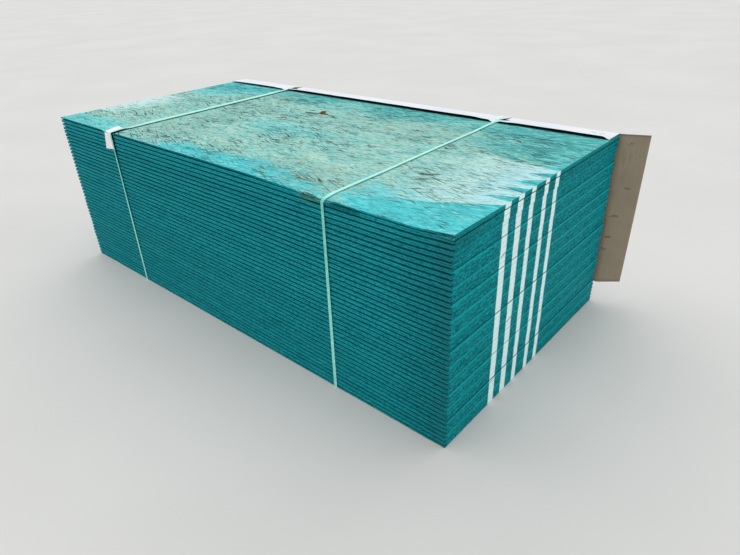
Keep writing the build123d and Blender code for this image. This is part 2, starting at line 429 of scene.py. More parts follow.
def top_paint():
    """The top panel's face: teal over strands, worn and dusty, with white drift from the end stripes."""
    finish = Finish("teal_paint_on_strands")
    along, across, _ = finish.axes
    strand_tone = finish.add("ShaderNodeAttribute", {"attribute_name": "strand_tone"}, output="Fac")
    cell_tone, seam = strand_layers(finish)
    tone = strand_tone * 0.6 + cell_tone * 0.4
    broad = finish.grid((0.36, 0.2, 1)).cloud(3, 0.6)
    mottle = finish.grid((0.05, 0.026, 1)).cloud(4, 0.65)
    flake = finish.grid((0.02, 0.011, 1), 0.1).cloud(2, 0.6)
    streak = finish.grid((0.13, 0.007, 1), 0.1).cloud(3, 0.6)
    waver = (broad - 0.5) * 2.2 + (mottle - 0.5) * 1.3

    # Each strand took the paint in its own way: cyan where it is fresh, greener and paler where it is worn
    varied = tone + (mottle - 0.5) * 0.9
    clean = finish.ramp(varied, (0.05, (40, 176, 188)), (0.45, (74, 208, 216)), (0.95, (114, 228, 228)))
    worn = finish.ramp(
        varied,
        (0.05, (92, 176, 172)),
        (0.35, (144, 210, 204)),
        (0.65, (170, 220, 206)),
        (1.0, (194, 226, 208)),
    )
    shaded = finish.ramp(varied, (0.1, (36, 150, 156)), (0.5, (76, 192, 192)), (0.95, (124, 214, 206)))

    # The paint is fresh along the front and by the near right corner; along the rear it takes the shaded
    # colours, a painted shade
    rear = (across + (broad - 0.5) * 0.5).rise(0.84, 1.06)
    rear = rear.larger(finish.patches(waver, (2.36, 0.95, 0.42, 0.36, 1)))
    finish.prime(rear * 0.9, worn, shaded)
    fresh = finish.patches(
        waver,
        (1.35, 0.01, 0.62, 0.14, 1),
        (2.44, 0.05, 0.5, 0.27, 1),
        (0.05, 1.0, 0.42, 0.25, 0.6),
        (0.1, 0.02, 0.5, 0.12, 0.75),
        (1.25, 0.5, 0.3, 0.1, 0.4),
    )
    fresh = fresh.larger(finish.patches(waver * 0.4, (2.46, 0.42, 0.2, 0.34, 1)))
    finish.coat(fresh * tone.rise(0, 0.6, 0.8), clean)

    # Tan dust in a few broad patches
    dust = finish.patches(
        waver,
        (0.7, 0.72, 0.16, 0.4, 1),
        (0.74, 0.2, 0.22, 0.18, 1),
        (1.74, 0.8, 0.32, 0.16, 1),
        (1.72, 0.12, 0.3, 0.12, 1),
        (1.3, 0.78, 0.14, 0.14, 0.7),
    )
    dust = dust * (mottle + (tone - 0.5) * 0.2).rise(0.38, 0.64)
    finish.coat(dust * 0.5, (150, 186, 168))
    finish.coat(dust * flake.rise(0.54, 0.64) * 0.45, (120, 128, 108))
    haze = drift(finish, streak)
    finish.coat(haze, (216, 248, 250))

    # Strands show as seams and splits, thick in some places and hardly there in others
    clusters = (broad + (mottle - 0.5) * 0.9).rise(0.4, 0.64) * (1 - haze * 0.8) * (1 - fresh * 0.3)
    finish.coat(seam * (clusters * 0.5 + 0.04), (24, 92, 90))
    finish.coat(flake.fall(0.36, 0.48, 0.4) * (1 - haze * 0.8) * (1 - fresh * 0.5), (50, 136, 132))
    split = slivers(
        finish,
        (0.1, 0.0085, 0.5, (0.2, 0.6, 0), 0.6),
        (0.09, 0.008, -0.4, (0.5, 0.1, 0), 0.6),
        (0.13, 0.009, 0.05, (0.9, 0.3, 0), 0.61),
    )
    finish.coat(split * (clusters * 0.85 + 0.1 - haze * 0.08), (8, 62, 60))
    sparse = slivers(
        finish,
        (0.08, 0.007, 0.25, (0.35, 0.2, 0), 0.66),
        (0.08, 0.008, -0.15, (0.15, 0.7, 0), 0.66),
    )
    finish.coat(sparse * 0.75, (10, 70, 70))
    # Pale flecks along the strands' raised edges are painted highlights
    finish.coat(slivers(finish, (0.05, 0.007, 0.15, (0.7, 0.8, 0), 0.62)) * 0.35, (196, 240, 234))
    bend = (finish.grid((0.04, 0.5, 1)).cloud(1) - 0.5) * 14 * MM
    for start, end, place, turn in CRACKS:
        off = abs(across - place - (along - start) * turn + bend)
        half = (end - start) / 2
        span = abs(along - (start + half)).fall(half - 4 * MM, half)
        finish.coat(off.fall(1.2 * MM, 3 * MM, 0.9) * span, (10, 56, 58))

    # Painted shadow beside each strap, a black painted shadow wedge by the front guard, and painted shade
    # under the flap
    far, near = DRAG_REAR
    for strap, reach, dark in ((STRAP_LEFT, 20 * MM, 0.9), (STRAP_RIGHT, 9 * MM, 0.4)):
        dragged = across.fall(WIDTH - far, WIDTH - near, DRAG[strap])
        if strap == STRAP_RIGHT:
            dragged = dragged * (across / RIGHT_DRAG_FRONT).smaller(1.0)
        beside = along - (strap_at(strap, FRONT, TOP) - LEFT) - across * STRAP_SKEW - dragged
        line = abs(beside - reach / 2).fall(reach / 2 + 4 * MM, reach / 2 + 8 * MM, dark)
        if strap == STRAP_LEFT:
            # A black painted shadow wedge under the raised guard and strap at the front
            painted_shadow_wedge = (beside + across * 0.12).fall(20 * MM, 24 * MM) * beside.rise(2 * MM, 4 * MM)
            line = line.larger(painted_shadow_wedge * across.fall(0.09, 0.1, 1.1))
        finish.coat(line.smaller(1.0), (8, 56, 56))
    # Painted shade under the flap's lifted front edge
    under = across.rise(WIDTH - FLAP_WIDTH - 3 * MM, WIDTH - FLAP_WIDTH + 3 * MM)
    finish.coat(under * 0.85, (14, 40, 42))

    height = tone * 0.5 - seam * 0.6 + flake * 0.3 + mottle * 0.2 - split
    return finish.surface(mottle.rise(0.3, 0.75, 0.55, 0.75), height, 0.8, 0.6 * MM, 0.08)


def edge_paint():
    """Sealing paint on the long edges: layers of strands seen on edge, darker in the groove."""
    finish = Finish("teal_edge_seal")
    along, across, up = finish.axes
    panel = (up / PITCH).whole()
    streak = finish.joined(along * 9, across * 9, up * 420).cloud(3, 0.62)
    hair = finish.joined(along * 40, across * 40, up * 1300).cloud(2, 0.6)
    broad = finish.joined(along * 2.3, panel * 1.7, up * 3).cloud(3, 0.55)
    mottle = finish.joined(along * 70, across * 70, up * 160).cloud(2, 0.6)
    finish.prime(streak.rise(0.3, 0.7), (10, 130, 141), (32, 174, 182))
    finish.coat(panel.chance().rise(0, 1, 0, 0.35), (8, 104, 112))
    finish.coat(broad.rise(0.35, 0.75, 0, 0.35), (36, 160, 166))
    finish.coat(mottle.fall(0.34, 0.5, 0.6), (4, 78, 88))
    finish.coat(mottle.rise(0.56, 0.7, 0, 0.5), (44, 176, 180))
    finish.coat(hair.rise(0.58, 0.72, 0, 0.4), (80, 196, 196))
    finish.coat(hair.fall(0.3, 0.42, 0.5), (2, 72, 82))

    # Handling has browned a little of the edge by the corner, and painted shade darkens the front towards
    # it
    corner = (along + (broad - 0.5) * 0.2).rise(LENGTH - 0.08, LENGTH - 0.005)
    finish.coat(corner * streak.rise(0.4, 0.65, 0, 0.55), (56, 92, 86))
    at_front = across.fall(0.1, 0.2)
    finish.coat(along.rise(LENGTH - 0.3, LENGTH - 0.02, 0, 0.3) * at_front, (6, 74, 80))

    # The groove's walls are a little darker, from thinner paint and painted shade; the tongue caught less
    # paint
    finish.coat(across.rise(1.5 * MM, 6 * MM) * at_front * 0.85, (8, 116, 127))
    bare = finish.mix(streak.rise(0.35, 0.65), (92, 84, 66), (150, 124, 92))
    tongue = across.rise(WIDTH - 9 * MM, WIDTH - 7.5 * MM)
    finish.coat(tongue * streak.rise(0.4, 0.6, 0.15, 0.7), bare)

    # The top panel's upper lip is dirty; the right strap has crushed it, and it is split and bare there,
    # with painted shadow on the chipped lip to its right
    strap = strap_at(STRAP_RIGHT, FRONT, TOP) - LEFT
    lip = up.rise(HEIGHT - 8 * MM, HEIGHT - 6 * MM)
    finish.coat(lip * mottle.rise(0.36, 0.6, 0.85, 0.35), (4, 66, 70))
    high = (up + (mottle - 0.5) * 0.03).rise(HEIGHT - 46 * MM, HEIGHT - 24 * MM)
    beside = abs(along - (strap - 52 * MM) + (streak - 0.5) * 0.12).fall(0.02, 0.075, 0.9)
    wood = finish.ramp(streak, (0.36, (8, 60, 56)), (0.52, (50, 108, 96)), (0.62, (140, 190, 170)))
    finish.coat(beside * high * hair.rise(0.35, 0.5, 0.5), wood)
    chipped_and_shadowed = abs(along - (strap + 85 * MM)).fall(0.05, 0.1)
    finish.coat(chipped_and_shadowed * high * mottle.rise(0.4, 0.55, 0.1, 0.7), (10, 58, 60))

    # Painted shadow fills the gap to the right of the front guard
    side = along - (strap_at(STRAP_LEFT, FRONT, TOP) - LEFT)
    guard_shadow = (side + (mottle - 0.5) * 0.06).fall(20 * MM, 25 * MM) * side.rise(4 * MM, 6 * MM)
    guard_shadow = guard_shadow * (up + (mottle - 0.5) * 0.08).rise(HEIGHT - 0.11, HEIGHT - 0.095)
    finish.coat(guard_shadow * 0.95, (2, 22, 26))
    height = streak + hair * 0.6 + mottle * 0.5
    return finish.surface(streak.rise(0.3, 0.7, 0.6, 0.8), height, 0.7, 0.5 * MM, 0.05)


# Dark nicks in the stripes at the right end: place across the stack, and height
NICKS = ((295 * MM, 106 * MM), (384 * MM, 321 * MM), (302 * MM, 610 * MM))


def end_paint():
    """Sealing paint on the sawn ends: three-panel books, five sprayed stripes, dark nicks."""
    finish = Finish("teal_end_seal")
    along, across, up = finish.axes
    left_end = along < LENGTH / 2
    in_panel = (up / PITCH).part()
    book = up / (PITCH * BOOK_SIZE)
    in_book = book.part()
    book_lot = book.whole().chance()
    panel_lot = ((up / PITCH).whole() + 200).chance()
    streak = finish.joined(across * 10, along, up * 430).cloud(3, 0.62)
    hair = finish.joined(across * 46, along, up * 1250).cloud(2, 0.6)
    broad = finish.joined(across * 3.5, along, up * 9).cloud(3, 0.55)
    spots = finish.joined(across * 120, along, up * 260).cloud(2, 0.6)
    speck = finish.joined(across * 120 - up * 90, along, up * 290).cloud(4, 0.7)

    finish.prime(streak.rise(0.32, 0.68), (0, 134, 142), (6, 158, 166))
    # Painted shade: each book darkens towards its foot
    finish.coat(in_book.fall(0.1, 0.9, 0.6), (2, 98, 108))
    finish.coat(panel_lot.rise(0, 1, 0, 0.25), (10, 142, 142))
    finish.coat(broad.rise(0.4, 0.7, 0, 0.35), (8, 146, 156))
    # Painted shade darkens each panel towards its foot
    finish.coat(in_panel.fall(0.05, 0.95, 0.45), (2, 86, 94))
    finish.coat(speck.rise(0.52, 0.62, 0, 0.8), (20, 184, 190))
    finish.coat(speck.fall(0.38, 0.48, 0.85), (0, 70, 80))
    # A pale line at the top of each book: overspray on the ledge and a painted highlight
    lip = in_book.rise(0.72, 0.9) * streak.rise(0.3, 0.5, 0.5)
    finish.coat(lip * book_lot.rise(0, 1, 0.3, 0.6), (16, 178, 180))
    finish.coat(hair.rise(0.58, 0.7, 0, 0.4), (36, 180, 182))
    finish.coat(hair.fall(0.3, 0.4, 0.4), (0, 64, 70))
    dirty = up.rise(HEIGHT - 0.11, HEIGHT - 0.02) * across.fall(0, 0.25, 1, 0.35)
    finish.coat(dirty * (spots + (broad - 0.5) * 0.6).rise(0.4, 0.6, 0.1, 0.6), (10, 84, 80))

    # The top panel is darker, and so are the joints between panels
    top_one = up.rise(TOP_PANEL_FOOT + 0.65 * MM, TOP_PANEL_FOOT + 0.95 * MM)
    finish.coat(top_one * 0.3, (8, 92, 96))
    joint = abs(in_panel - 0.99).fall(0.02, 0.05)
    finish.coat(joint * spots.rise(0.35, 0.6, 0, 0.35), (2, 66, 70))

    # Stripes, a little out of line at the top
    shift = (book_lot - 0.5) * 0.8 * MM - top_one * 4 * MM
    settled = (along - LENGTH) * up.rise(0.68, 0.735, 1.5, 0.75) * (1 - left_end)
    place = across - left_end * STRIPES_LEFT_SHIFT + shift + settled
    waver = (speck + spots - 1) * 3.5 * MM
    stripes = []
    for front, rear in STRIPES:
        half = (rear - front) / 2
        off = abs(place - (front + half)) + waver
        stripes.append(off.fall(half - 2.5 * MM, half + 2.5 * MM))
    stripe = largest(stripes)
    nicks = []
    for nick_across, nick_up in NICKS:
        off = abs(up - nick_up - (across - nick_across) * 0.35)
        nicks.append(off.fall(1.2 * MM, 3 * MM) * abs(across - nick_across).fall(12 * MM, 18 * MM))
    cover = hair.rise(0.27, 0.36, 0.93) * spots.rise(0.28, 0.36, 0.9)
    finish.coat(stripe * cover * (1 - largest(nicks) * (1 - left_end)), (228, 255, 255))

    # The tongues' sawn ends at the rear are nearly bare, and the joint under the top panel is black
    tongue = (across + (streak - 0.5) * 8 * MM).rise(WIDTH - 16 * MM, WIDTH - 9 * MM)
    wood = finish.mix(streak.rise(0.35, 0.6), (84, 92, 80), (126, 138, 122))
    finish.coat(tongue * streak.rise(0.3, 0.5, 0.8), wood)
    near = (across + (broad - 0.5) * 0.03).fall(0.002, 0.014)
    finish.coat(near * streak.rise(0.35, 0.6, 0, 0.45), (40, 84, 80))
    top_joint = abs(up - TOP_PANEL_FOOT).fall(1.2 * MM, 2.6 * MM)
    finish.coat(top_joint * 0.95, (4, 26, 28))
    height = streak + hair * 0.7 + speck * 0.8 + stripe * 0.3
    return finish.surface(stripe.rise(0, 1, 0.7, 0.55), height, 0.7, 0.5 * MM, 0.05)


def bare_strands():
    """Unpainted board faces: pale strands in several tones, with edge paint run in round the border."""
    finish = Finish("bare_strands")
    along, across, _ = finish.axes
    tone, seam = strand_layers(finish)
    grain = finish.grid((0.03, 0.0016, 1)).cloud(3, 0.6)
    finish.colour = finish.ramp(
        tone,
        (0.0, (132, 96, 58)),
        (0.45, (186, 148, 98)),
        (0.8, (210, 176, 126)),
        (1.0, (226, 198, 152)),
    )
    finish.coat(grain.rise(0.35, 0.7, 0, 0.35), (120, 84, 50))
    finish.coat(seam * 0.6, (70, 46, 26))
    border = across.smaller(WIDTH - across).smaller(along).smaller(LENGTH - along)
    finish.coat((border - tone * 26 * MM).fall(8 * MM, 16 * MM), (12, 104, 112))
    height = tone * 0.6 - seam * 0.6 + grain * 0.3
    return finish.surface(grain.rise(0.3, 0.7, 0.6, 0.85), height, 0.8, 0.6 * MM, 0.2)


CHIP_ALONG = 1142 * MM


def torn_wood():
    """Bare wood: brown heart, olive shade, cream ends as a painted highlight and a dark foot as painted
    shadow on the chip, khaki on the lip.
    """
    finish = Finish("torn_wood")
    along, across, up = finish.axes
    grain = finish.grid((0.012, 0.002, 0.003)).cloud(3, 0.65)
    finish.prime(grain.rise(0.36, 0.64), (62, 40, 28), (158, 98, 66))
    finish.coat(along.fall(CHIP_ALONG - 14 * MM, CHIP_ALONG) * 0.6, (98, 104, 66))
    high = up - HEIGHT
    ends = (abs(along - CHIP_ALONG) + (grain - 0.5) * 0.02).rise(0.014, 0.024)
    # Cream on the chip's raised ends is a painted highlight
    finish.coat(ends * high.rise(2 * MM, 5 * MM) * 0.85, (218, 214, 158))
    # The chip's dark foot is painted shadow
    finish.coat(high.fall(0.5 * MM, 4 * MM) * across.rise(0.03, 0.1) * 0.9, (26, 34, 30))
    lip = across.fall(0.03, 0.1)
    finish.coat(lip, finish.mix(grain.rise(0.4, 0.6), (14, 58, 50), (72, 112, 90)))
    finish.coat(lip * grain.rise(0.6, 0.66), (166, 208, 184))
    return finish.surface(grain.rise(0.3, 0.7, 0.65, 0.9), grain, 0.8, 0.6 * MM, 0.1)


def white_paper():
    """The cover sheet's outside: white coated paper with a faint weave, creases and a few marks."""
    finish = Finish("white_cover_paper")
    along, across, up = finish.axes
    cloud = finish.place.cloud(4, 0.55, 3)
    fine = finish.place.cloud(2, 0.5, 420)
    crease = finish.grid((0.5, 0.09, 0.09)).cloud(5, 0.6)
    finish.prime(cloud.rise(0.35, 0.7), (230, 236, 244), (240, 246, 250))
    finish.coat(fine.rise(0.6, 0.75, 0, 0.15), (212, 212, 214))
    finish.coat((cloud + (fine - 0.5) * 0.3).rise(0.6, 0.8, 0, 0.3), (214, 208, 202))
    ragged = (fine - 0.5) * 0.6
    for mark_along, mark_across in ((2.352, 1.155), (2.392, 1.148)):
        mark = finish.patches(ragged, (mark_along, mark_across, 14 * MM, 5 * MM, 0.7))
        finish.coat(mark, (92, 100, 112))

    # Painted shadow darkens the paper under the open side of each rear guard
    for strap in (STRAP_LEFT, STRAP_RIGHT):
        side = along - (strap_at(strap, REAR, TOP) - LEFT)
        taper = (54 * MM - side) * 0.34
        below = (abs(across - (WIDTH - 56 * MM)) - taper).fall(-2 * MM, 2 * MM)
        finish.coat(side.rise(4 * MM, 8 * MM) * below * up.rise(HEIGHT - 2 * MM, HEIGHT), (8, 12, 14))
    return finish.surface(crease.rise(0.3, 0.7, 0.42, 0.6), crease + fine * 0.04, 0.5, 2 * MM, 0.3)


# Smudges on the free end: how far out from the stack's right end, and height
SMUDGES = (
    (50 * MM, 752 * MM),
    (62 * MM, 560 * MM),
    (34 * MM, 430 * MM),
    (24 * MM, 330 * MM),
    (12 * MM, 270 * MM),
)


def brown_paper():
    """The cover sheet's inside: uncoated brown-grey paper with fine upright lines and a few smudges."""
    finish = Finish("brown_cover_paper")
    along, across, up = finish.axes
    cloud = finish.place.cloud(4, 0.6, 7)
    fibre = finish.grid((0.003, 0.003, 0.06)).cloud(3, 0.6)
    finish.prime(cloud.rise(0.3, 0.7), (150, 136, 117), (160, 146, 126))
    finish.coat(fibre.rise(0.35, 0.7, 0, 0.3), (132, 120, 102))
    finish.coat((cloud + (fibre - 0.5) * 0.5).rise(0.62, 0.72, 0, 0.4), (116, 114, 104))
    out = (along - LENGTH).larger(0.0)
    blot = finish.place.cloud(2, 0.6, 140)
    for place, height in SMUDGES:
        x = (out - place) / (15 * MM)
        z = (up - height) / (8 * MM)
        finish.coat((x * x + z * z + (blot - 0.5) * 7).fall(0, 0.7, 0.75), (86, 92, 74))
    finish.coat(up.rise(779 * MM, 789 * MM, 0, 0.5), (84, 80, 70))
    # Painted shade darkens the flap's underside, in front of the fold
    finish.coat(across.rise(WIDTH - 2 * MM, WIDTH - 8 * MM) * 0.85, (30, 32, 34))
    return finish.surface(fibre.rise(0.3, 0.7, 0.7, 0.88), cloud + fibre * 0.2, 0.5, 1 * MM, 0.1)


def guard_board():
    """Pressed paper board: white faces with a faint pink cast."""
    finish = Finish("white_guard_board")
    cloud = finish.place.cloud(4, 0.6, 26)
    fine = finish.place.cloud(2, 0.5, 700)
    finish.prime(cloud.rise(0.35, 0.68), (246, 240, 243), (248, 250, 252))
    finish.coat(fine.rise(0.58, 0.72, 0, 0.15), (210, 204, 204))
    finish.coat(cloud.rise(0.6, 0.75, 0, 0.3), (230, 214, 216))
    return finish.surface(cloud.rise(0.3, 0.7, 0.6, 0.78), cloud + fine * 0.15, 0.5, 0.6 * MM, 0.2)


LATTICE_STEP = 3.2 * MM


def strap_plastic():
    """Pale mint strapping with an embossed lattice and dull scuffs, darker down the sides of the stack:
    painted shade, and the teal behind showing through.
    """
    finish = Finish("mint_strapping")
    along, across, up = finish.axes
    round_band = across + up
    over_band = along - across * STRAP_SKEW - up * STRAP_LEAN
    one_way = abs(((round_band + over_band) / LATTICE_STEP).part() - 0.5)
    other_way = abs(((round_band - over_band) / LATTICE_STEP).part() - 0.5)
    lattice = one_way.smaller(other_way).rise(0.06, 0.2)
    scuff = finish.place.cloud(3, 0.6, 60)
    finish.prime(scuff.rise(0.35, 0.7), (164, 250, 234), (196, 255, 248))
    # Painted shade, with the teal behind showing through, darkens the runs down the sides of the stack
    side = finish.mix(scuff.rise(0.35, 0.7), (106, 202, 188), (134, 226, 212))
    finish.coat(up.fall(HEIGHT - 16 * MM, HEIGHT - 4 * MM) * up.rise(0.2, 0.76, 0.45), side)
    finish.coat(lattice.fall(0, 1, 0.14), (110, 178, 160))
    finish.coat(scuff.rise(0.62, 0.75, 0, 0.3), (206, 244, 236))
    return finish.surface(scuff.rise(0.3, 0.75, 0.36, 0.55), lattice + scuff * 0.2, 0.35, 0.25 * MM, 0.25)


# Making pieces


def merged_copy(name):
    """A node's shape as one closed skin with whole flat faces."""
    bm = bmesh.new()
    bm.from_mesh(nodes[name].data)
    bmesh.ops.remove_doubles(bm, verts=bm.verts, dist=WELD)
    bmesh.ops.dissolve_limit(bm, angle_limit=math.radians(0.5), verts=bm.verts, edges=bm.edges)
    return bm


def finished(bm, name, finishes, node):
    """Makes a piece of the worked shape, riding with the stack in place of a node."""
    mesh = bpy.data.meshes.new(name)
    bm.to_mesh(mesh)
    bm.free()
    for material in finishes:
        mesh.materials.append(material)
    piece = bpy.data.objects.new(name, mesh)
    bpy.context.scene.collection.objects.link(piece)
    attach(piece, "root")
    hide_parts(node)
    return piece


FACE, EDGE, END, BARE, TORN = range(5)

# How deep the painted face may lie, and how far the sealed edge and the split lip reach in from the front
FACE_DEPTH = 12 * MM
EDGE_BORDER = 12 * MM
LIP_BORDER = 22 * MM


def give_finishes(bm, over):
    """Picks a finish for each face of a panel by the way that it looks and where it is."""
    for face in bm.faces:
        _, y, z = face.calc_center_median()
        upward = face.normal.z
        if abs(face.normal.x) > 0.7:
            face.material_index = END
        elif over and upward > 0.85 and z > TOP - FACE_DEPTH and y < REAR - TONGUE_ZONE:
            face.material_index = FACE
        elif over and upward > 0 and y < FRONT + LIP_BORDER:
            face.material_index = EDGE
        elif y < FRONT + EDGE_BORDER or y > REAR - TONGUE_ZONE or abs(upward) < 0.6:
            face.material_index = EDGE
        else:
            face.material_index = FACE if over and upward > 0 else BARE


def wear(x, y, seed):
    """How far a sawn edge is worn back: a fine waver, and a chip here and there."""
    fine = abs(noise.noise(Vector((x * 95, y * 60, seed))))
    chip = max(0.0, noise.noise(Vector((x * 17, y * 9, seed + 50.5))) - 0.3)
    return 0.45 * MM * fine + 3.0 * MM * chip


EDGE_CUTS = 200
END_CUTS = 70
END_WEAR = 0.3 * MM


def fray_edges(bm, low, high, seed):
    """Wears each short step of the long edges and the end edges back a little."""
    middle = (low + high) / 2
    lip = (high.z - low.z) / 2 - GROOVE_MOUTH / 2
    for vert in bm.verts:
        x, y, z = vert.co
        height = z - middle.z
        at_front = y < low.y + 1.5 * MM
        at_rear = y > high.y - TONGUE_ZONE
        at_end = x < low.x + WELD or x > high.x - WELD
        if not (at_front or at_rear or at_end):
            continue
        back = wear(x, y + z * 3, seed)
        down = wear(x + 7, y + z * 3, seed + 9) * 0.6
        if at_end:
            down = min(down, END_WEAR)
            back = 0.0
        vert.co.y += back if at_front else -back if at_rear else 0.0
        if abs(height) > lip / 2:
            vert.co.z -= math.copysign(down, height)


def cut_long_edges(bm, cuts):
    """Cuts the edges that run the whole length of a panel into short steps."""
    long_edges = [edge for edge in bm.edges if edge.calc_length() > 2]
    bmesh.ops.subdivide_edges(bm, edges=long_edges, cuts=cuts, use_grid_fill=True)


def panel_piece(number, finishes):
    """One panel below the top one, with its ragged edges."""
    name = f"panel_{number:02d}"
    low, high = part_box(name)
    bm = merged_copy(name)
    cut_long_edges(bm, EDGE_CUTS)
    end_edges = []
    for edge in bm.edges:
        first, second = (vert.co for vert in edge.verts)
        if edge.calc_length() > 1 and abs(first.x - second.x) < WELD:
            if first.x < low.x + WELD or first.x > high.x - WELD:
                end_edges.append(edge)
    bmesh.ops.subdivide_edges(bm, edges=end_edges, cuts=END_CUTS)
    give_finishes(bm, False)
    fray_edges(bm, low, high, number * 3.7)
    for vert in bm.verts:
        settle(vert)
    return finished(bm, f"osb_{name}", finishes, name)


# The top panel

TOP_CUTS_ALONG = 290
TOP_CUTS_ACROSS = 118
NOSE_CUTS = 4
TOP_WEAR_SEED = 155.4
CRUSH_RADIUS = 12 * MM
CRUSH_REACH = 70 * MM
SKIN_SINK = 0.55 * MM
PLAIN_TONE = 0.5


def corner_curl(x, y):
    """How far the top panel's near right corner has sprung up."""
    return 1.0 * MM * smooth(x, RIGHT - 0.15, RIGHT) * smooth(y, FRONT + 0.3, FRONT)


def crush_front(vert, front, top):
    """Rounds off the front edge where the right strap has bitten in, and splits it beside the strap."""
    off = vert.co.x - strap_at(STRAP_RIGHT, FRONT, TOP)
    near = max(0.0, 1 - abs(off) / CRUSH_REACH)
    ragged = 1 + 0.25 * noise.noise(Vector((vert.co.x * 160, 3.3, 8.1)))
    radius = EDGE_EASING + (CRUSH_RADIUS - EDGE_EASING) * near * ragged
    in_y = vert.co.y - front - radius
    in_z = vert.co.z - top + radius
    reach = math.hypot(in_y, in_z)
    if in_y < 0 and in_z > 0 and reach > radius:
        vert.co.y = front + radius + in_y * radius / reach
        vert.co.z = top - radius + in_z * radius / reach
    split = smooth(off, -150 * MM, -90 * MM) * smooth(off, 230 * MM, 150 * MM)
    if vert.co.y < front + 9 * MM and vert.co.z > top - 6 * MM:
        rough = noise.noise_vector(Vector((vert.co.x * 130, vert.co.y * 260, vert.co.z * 300)))
        vert.co.y += abs(rough.y) * 3.5 * MM * split
        vert.co.z -= abs(rough.z) * 2.2 * MM * split


SHAPE_COUNT = 10
STRAND_COUNT = 1900
SPLINTER_COUNT = 90
STRAND_THICKNESS = 0.7 * MM
STRANDS_OFF_REAR = 12 * MM


def strand_shapes(chance):
    """A few strand outlines, one unit long and wide, with broken ends and some thickness."""
    shapes = []
    for number in range(SHAPE_COUNT):
        bm = bmesh.new()
        bmesh.ops.create_grid(bm, x_segments=4, y_segments=1, size=0.5)
        for vert in bm.verts:
            at_end = abs(vert.co.x) > 0.49
            vert.co.x += chance.uniform(-0.12, 0.12) if at_end else chance.uniform(-0.04, 0.04)
            vert.co.y *= chance.uniform(0.25, 0.95) if at_end else chance.uniform(0.8, 1.1)
        bmesh.ops.solidify(bm, geom=bm.faces[:], thickness=1.0)
        bmesh.ops.recalc_face_normals(bm, faces=bm.faces)
        mesh = bpy.data.meshes.new(f"strand_shape_{number}")
        bm.to_mesh(mesh)
        bm.free()
        heights = [vert.co.z for vert in mesh.vertices]
        mesh.transform(Matrix.Translation((0, 0, -(min(heights) + max(heights)) / 2)))
        shapes.append(mesh)
    return shapes


def lay_strand(bm, shape, size, turn, tilt, place, limits):
    """Adds one strand to the top, kept inside the panel's outline."""
    strand = shape.copy()
    put = Matrix.Translation(place) @ Matrix.Rotation(turn, 4, "Z") @ Matrix.Rotation(tilt[0], 4, "X")
    put = put @ Matrix.Rotation(tilt[1], 4, "Y") @ Matrix.Diagonal((*size, 1))
    strand.transform(put)
    low, high = limits
    for vert in strand.vertices:
        vert.co.x = min(max(vert.co.x, low.x), high.x)
        vert.co.y = min(max(vert.co.y, low.y), high.y)
    bm.from_mesh(strand)
    bpy.data.meshes.remove(strand)


def clear_of_straps(x, y, room):
    """Whether a place on the top is clear of both straps, the flap and the guards."""
    beside = min(abs(x - strap_at(place, y, TOP)) for place in (STRAP_LEFT, STRAP_RIGHT))
    return beside > room and y < REAR - FLAP_WIDTH - room


def lay_strands(bm, chance, low, high):
    """Covers the top with thin strands and a few lifted splinters; says which faces are whose."""
    shapes = strand_shapes(chance)
    tones = []
    room = 2 * MM
    limits = (low + Vector((room, room, 0)), high - Vector((room, STRANDS_OFF_REAR, 0)))
    for _ in range(STRAND_COUNT):
        length = chance.uniform(55, 135) * MM
        width = chance.uniform(7, 24) * MM
        turn = chance.gauss(0.0, 0.38)
        x = chance.uniform(low.x, high.x)
        y = chance.uniform(low.y, high.y - STRANDS_OFF_REAR)
        slope = chance.uniform(0, 0.35) * MM / width
        rise = high.z + corner_curl(x, y) - chance.uniform(0.12, 0.5) * MM - STRAND_THICKNESS / 2
        tilt = (chance.choice((-slope, slope)), chance.uniform(-0.002, 0.002))
        size = (length, width, STRAND_THICKNESS)
        first = len(bm.faces)
        lay_strand(bm, chance.choice(shapes), size, turn, tilt, Vector((x, y, rise)), limits)
        tones.append((first, len(bm.faces), chance.random()))
    for _ in range(SPLINTER_COUNT):
        length = chance.uniform(30, 90) * MM
        width = chance.uniform(2, 7) * MM
        x = chance.uniform(low.x + 0.05, high.x - 0.05)
        y = chance.uniform(low.y + 0.03, high.y - 0.03)
        if not clear_of_straps(x, y, 60 * MM):
            continue
        lift = chance.uniform(0.6, 2.2) * MM
        tilt = (chance.uniform(-0.12, 0.12), math.atan2(lift, length) * chance.choice((-1, 1)))
        place = Vector((x, y, high.z + corner_curl(x, y) + lift * 0.3))
        size = (length, width, STRAND_THICKNESS)
        first = len(bm.faces)
        lay_strand(bm, chance.choice(shapes), size, chance.gauss(0.0, 0.25), tilt, place, limits)
        tones.append((first, len(bm.faces), chance.random()))
    for shape in shapes:
        bpy.data.meshes.remove(shape)
    return tones


# Torn strands in millimetres: place, size, turn and tilts. The chip is placed from the front left corner
CHIP = (
    ((1124, 799, 3.6), (30, 15, 1.8), 0.15, (0.5, -0.42)),
    ((1155, 797, 4.2), (36, 15, 1.8), -0.1, (0.5, 0.36)),
    ((1140, 803, 8.0), (30, 13, 2.2), 0.25, (0.7, -0.05)),
    ((1142, 794, 2.6), (44, 10, 3.0), 0.05, (0.9, 0.05)),
    ((1083, 783, 0.6), (76, 5, 2.6), 0.33, (0.2, 0.0)),
    ((1055, 776, 0.4), (34, 4, 1.8), 0.1, (0.1, 0.02)),
    ((1206, 790, 0.2), (34, 5, 1.6), 0.2, (0.1, 0.02)),
    ((1238, 772, 0.3), (26, 6, 1.8), -0.2, (0.1, 0.03)),
)

